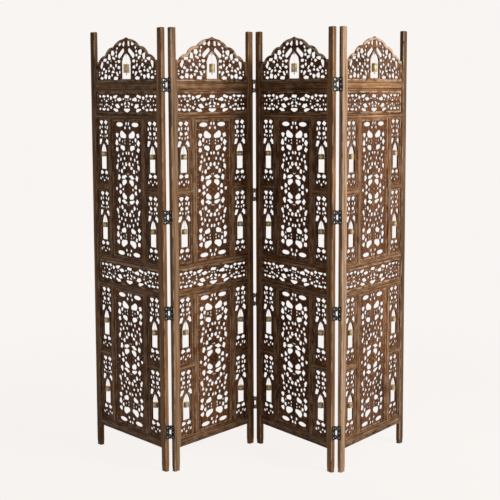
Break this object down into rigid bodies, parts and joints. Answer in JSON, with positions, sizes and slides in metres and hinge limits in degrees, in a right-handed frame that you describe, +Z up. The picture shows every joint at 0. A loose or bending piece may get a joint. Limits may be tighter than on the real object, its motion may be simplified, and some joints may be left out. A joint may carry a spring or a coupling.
{
  "type": "folding screen",
  "caption": "Free-standing folding screen of carved and pierced wooden panels on butt hinges, with small brass bells hanging in arched windows.",
  "frame": {"origin": "on the floor, at the middle of the folded screen's footprint", "axes": "+Z up, -Y towards the front, +X to the right seen from the front; the panels stand in the zigzag of the picture"},
  "size_m": [1.371, 0.4073, 1.829],
  "materials": {
    "wood_frame": "dark brown stained hardwood, worn lighter on its edges, low sheen",
    "wood_carved": "dark brown stained hardwood, carved and pierced, low sheen",
    "iron": "black japanned iron, satin",
    "steel": "darkened steel screws and pins",
    "brass": "aged brass, softly brushed"
  },
  "bodies": {
    "panel_1": {"panel_1_stiles": "wood_frame", "panel_1_rails": "wood_frame", "panel_1_muntins": "wood_frame", "panel_1_crest_board": "wood_carved", "panel_1_frieze_boards": "wood_carved", "panel_1_centre_boards": "wood_carved", "panel_1_side_boards": "wood_carved", "panel_1_fixings": "steel", "fold_1_left_leaves": "iron"},
    "panel_2": {"panel_2_stiles": "wood_frame", "panel_2_rails": "wood_frame", "panel_2_muntins": "wood_frame", "panel_2_crest_board": "wood_carved", "panel_2_frieze_boards": "wood_carved", "panel_2_centre_boards": "wood_carved", "panel_2_side_boards": "wood_carved", "panel_2_fixings": "steel", "fold_2_left_leaves": "iron", "fold_1_right_leaves": "iron"},
    "panel_3": {"panel_3_stiles": "wood_frame", "panel_3_rails": "wood_frame", "panel_3_muntins": "wood_frame", "panel_3_crest_board": "wood_carved", "panel_3_frieze_boards": "wood_carved", "panel_3_centre_boards": "wood_carved", "panel_3_side_boards": "wood_carved", "panel_3_fixings": "steel", "fold_3_left_leaves": "iron", "fold_2_right_leaves": "iron"},
    "panel_4": {"panel_4_stiles": "wood_frame", "panel_4_rails": "wood_frame", "panel_4_muntins": "wood_frame", "panel_4_crest_board": "wood_carved", "panel_4_frieze_boards": "wood_carved", "panel_4_centre_boards": "wood_carved", "panel_4_side_boards": "wood_carved", "panel_4_fixings": "steel", "fold_3_right_leaves": "iron"},
    "panel_1_crest_bell": {"panel_1_crest_bell": "brass"},
    "panel_1_side_bells_row_1": {"panel_1_side_bells_row_1": "brass"},
    "panel_1_side_bells_row_2": {"panel_1_side_bells_row_2": "brass"},
    "panel_1_side_bells_row_3": {"panel_1_side_bells_row_3": "brass"},
    "panel_1_side_bells_row_4": {"panel_1_side_bells_row_4": "brass"},
    "panel_2_crest_bell": {"panel_2_crest_bell": "brass"},
    "panel_2_side_bells_row_1": {"panel_2_side_bells_row_1": "brass"},
    "panel_2_side_bells_row_2": {"panel_2_side_bells_row_2": "brass"},
    "panel_2_side_bells_row_3": {"panel_2_side_bells_row_3": "brass"},
    "panel_2_side_bells_row_4": {"panel_2_side_bells_row_4": "brass"},
    "panel_3_crest_bell": {"panel_3_crest_bell": "brass"},
    "panel_3_side_bells_row_1": {"panel_3_side_bells_row_1": "brass"},
    "panel_3_side_bells_row_2": {"panel_3_side_bells_row_2": "brass"},
    "panel_3_side_bells_row_3": {"panel_3_side_bells_row_3": "brass"},
    "panel_3_side_bells_row_4": {"panel_3_side_bells_row_4": "brass"},
    "panel_4_crest_bell": {"panel_4_crest_bell": "brass"},
    "panel_4_side_bells_row_1": {"panel_4_side_bells_row_1": "brass"},
    "panel_4_side_bells_row_2": {"panel_4_side_bells_row_2": "brass"},
    "panel_4_side_bells_row_3": {"panel_4_side_bells_row_3": "brass"},
    "panel_4_side_bells_row_4": {"panel_4_side_bells_row_4": "brass"}
  },
  "joints": [
    {"name": "fold_1", "type": "hinge", "parent": "panel_2", "child": "panel_1", "pos_m": [-0.33064, -0.17269, 0.9], "axis": [0, 0, -1], "range_deg": [-96.4, 83.6]},
    {"name": "fold_2", "type": "hinge", "parent": "panel_2", "child": "panel_3", "pos_m": [0.02293, 0.19095, 0.9], "axis": [0, 0, 1], "range_deg": [-79.2, 100.8]},
    {"name": "fold_3", "type": "hinge", "parent": "panel_3", "child": "panel_4", "pos_m": [0.35564, -0.19186, 0.9], "axis": [0, 0, 1], "range_deg": [-103.5, 76.5]},
    {"name": "panel_1_crest_bell_swing", "type": "hinge", "parent": "panel_1", "child": "panel_1_crest_bell", "pos_m": [-0.51119, 0.00539, 1.72694], "axis": [-0.6743, 0.7385, 0], "range_deg": [-60, 60]},
    {"name": "panel_1_side_bells_row_1_swing", "type": "hinge", "parent": "panel_1", "child": "panel_1_side_bells_row_1", "pos_m": [-0.62717, 0.1324, 1.35104], "axis": [-0.6743, 0.7385, 0], "range_deg": [-60, 60]},
    {"name": "panel_1_side_bells_row_2_swing", "type": "hinge", "parent": "panel_1", "child": "panel_1_side_bells_row_2", "pos_m": [-0.62717, 0.1324, 1.04304], "axis": [-0.6743, 0.7385, 0], "range_deg": [-60, 60]},
    {"name": "panel_1_side_bells_row_3_swing", "type": "hinge", "parent": "panel_1", "child": "panel_1_side_bells_row_3", "pos_m": [-0.62717, 0.1324, 0.62104], "axis": [-0.6743, 0.7385, 0], "range_deg": [-60, 60]},
    {"name": "panel_1_side_bells_row_4_swing", "type": "hinge", "parent": "panel_1", "child": "panel_1_side_bells_row_4", "pos_m": [-0.62717, 0.1324, 0.31304], "axis": [-0.6743, 0.7385, 0], "range_deg": [-60, 60]},
    {"name": "panel_2_crest_bell_swing", "type": "hinge", "parent": "panel_2", "child": "panel_2_crest_bell", "pos_m": [-0.15385, 0.00913, 1.72694], "axis": [-0.6587, -0.7524, 0], "range_deg": [-60, 60]},
    {"name": "panel_2_side_bells_row_1_swing", "type": "hinge", "parent": "panel_2", "child": "panel_2_side_bells_row_1", "pos_m": [-0.26715, -0.12029, 1.35104], "axis": [-0.6587, -0.7524, 0], "range_deg": [-60, 60]},
    {"name": "panel_2_side_bells_row_2_swing", "type": "hinge", "parent": "panel_2", "child": "panel_2_side_bells_row_2", "pos_m": [-0.26715, -0.12029, 1.04304], "axis": [-0.6587, -0.7524, 0], "range_deg": [-60, 60]},
    {"name": "panel_2_side_bells_row_3_swing", "type": "hinge", "parent": "panel_2", "child": "panel_2_side_bells_row_3", "pos_m": [-0.26715, -0.12029, 0.62104], "axis": [-0.6587, -0.7524, 0], "range_deg": [-60, 60]},
    {"name": "panel_2_side_bells_row_4_swing", "type": "hinge", "parent": "panel_2", "child": "panel_2_side_bells_row_4", "pos_m": [-0.26715, -0.12029, 0.31304], "axis": [-0.6587, -0.7524, 0], "range_deg": [-60, 60]},
    {"name": "panel_3_crest_bell_swing", "type": "hinge", "parent": "panel_3", "child": "panel_3_crest_bell", "pos_m": [0.18929, -0.00046, 1.72694], "axis": [-0.6157, 0.788, 0], "range_deg": [-60, 60]},
    {"name": "panel_3_side_bells_row_1_swing", "type": "hinge", "parent": "panel_3", "child": "panel_3_side_bells_row_1", "pos_m": [0.08339, 0.13508, 1.35104], "axis": [-0.6157, 0.788, 0], "range_deg": [-60, 60]},
    {"name": "panel_3_side_bells_row_2_swing", "type": "hinge", "parent": "panel_3", "child": "panel_3_side_bells_row_2", "pos_m": [0.08339, 0.13508, 1.04304], "axis": [-0.6157, 0.788, 0], "range_deg": [-60, 60]},
    {"name": "panel_3_side_bells_row_3_swing", "type": "hinge", "parent": "panel_3", "child": "panel_3_side_bells_row_3", "pos_m": [0.08339, 0.13508, 0.62104], "axis": [-0.6157, 0.788, 0], "range_deg": [-60, 60]},
    {"name": "panel_3_side_bells_row_4_swing", "type": "hinge", "parent": "panel_3", "child": "panel_3_side_bells_row_4", "pos_m": [0.08339, 0.13508, 0.31304], "axis": [-0.6157, 0.788, 0], "range_deg": [-60, 60]},
    {"name": "panel_4_crest_bell_swing", "type": "hinge", "parent": "panel_4", "child": "panel_4_crest_bell", "pos_m": [0.52366, -0.00192, 1.72694], "axis": [-0.6225, -0.7826, 0], "range_deg": [-60, 60]},
    {"name": "panel_4_side_bells_row_1_swing", "type": "hinge", "parent": "panel_4", "child": "panel_4_side_bells_row_1", "pos_m": [0.41659, -0.13653, 1.35104], "axis": [-0.6225, -0.7826, 0], "range_deg": [-60, 60]},
    {"name": "panel_4_side_bells_row_2_swing", "type": "hinge", "parent": "panel_4", "child": "panel_4_side_bells_row_2", "pos_m": [0.41659, -0.13653, 1.04304], "axis": [-0.6225, -0.7826, 0], "range_deg": [-60, 60]},
    {"name": "panel_4_side_bells_row_3_swing", "type": "hinge", "parent": "panel_4", "child": "panel_4_side_bells_row_3", "pos_m": [0.41659, -0.13653, 0.62104], "axis": [-0.6225, -0.7826, 0], "range_deg": [-60, 60]},
    {"name": "panel_4_side_bells_row_4_swing", "type": "hinge", "parent": "panel_4", "child": "panel_4_side_bells_row_4", "pos_m": [0.41659, -0.13653, 0.31304], "axis": [-0.6225, -0.7826, 0], "range_deg": [-60, 60]}
  ]
}
